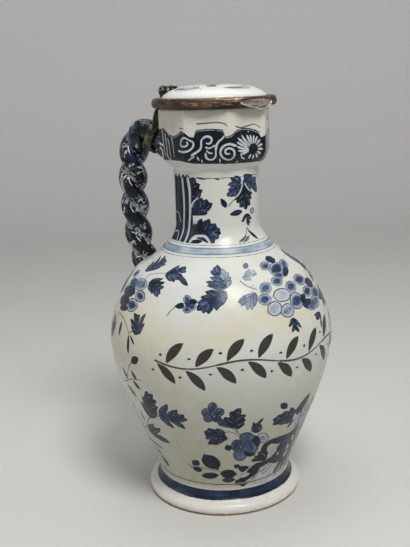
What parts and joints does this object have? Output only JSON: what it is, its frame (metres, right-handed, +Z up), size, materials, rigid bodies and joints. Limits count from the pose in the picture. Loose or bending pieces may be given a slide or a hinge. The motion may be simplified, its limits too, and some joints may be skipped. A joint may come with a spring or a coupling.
{
  "type": "covered pitcher",
  "caption": "Covered tin-glazed earthenware pitcher: round belly, eight-sided collar, twisted rope handle, domed lid in a hinged metal rim, painted in blue on white.",
  "frame": {"origin": "middle of the foot's underside, on the surface it stands on", "axes": "+Z up through the lid, handle at -X, pouring side at +X"},
  "size_m": [0.149, 0.1464, 0.2696],
  "materials": {
    "white_glaze": "gloss",
    "blue_glaze": "gloss",
    "dull_brass": "satin",
    "copper_rim": "satin",
    "iron": "satin",
    "putty": "matte"
  },
  "bodies": {
    "jug": {"jug_body": "white_glaze", "handle_strand_a": "blue_glaze", "handle_strand_b": "blue_glaze", "handle_band": "dull_brass", "hinge_strap": "dull_brass", "hinge_pin": "iron"},
    "lid": {"lid_dome": "white_glaze", "lid_bedding": "putty", "lid_rim": "copper_rim", "hinge_leaf": "copper_rim", "thumbpiece": "iron"}
  },
  "joints": [
    {"name": "lid_hinge", "type": "hinge", "parent": "jug", "child": "lid", "pos_m": [-0.0427, 0, 0.2572], "axis": [0, -1, 0], "range_deg": [0, 105]}
  ]
}
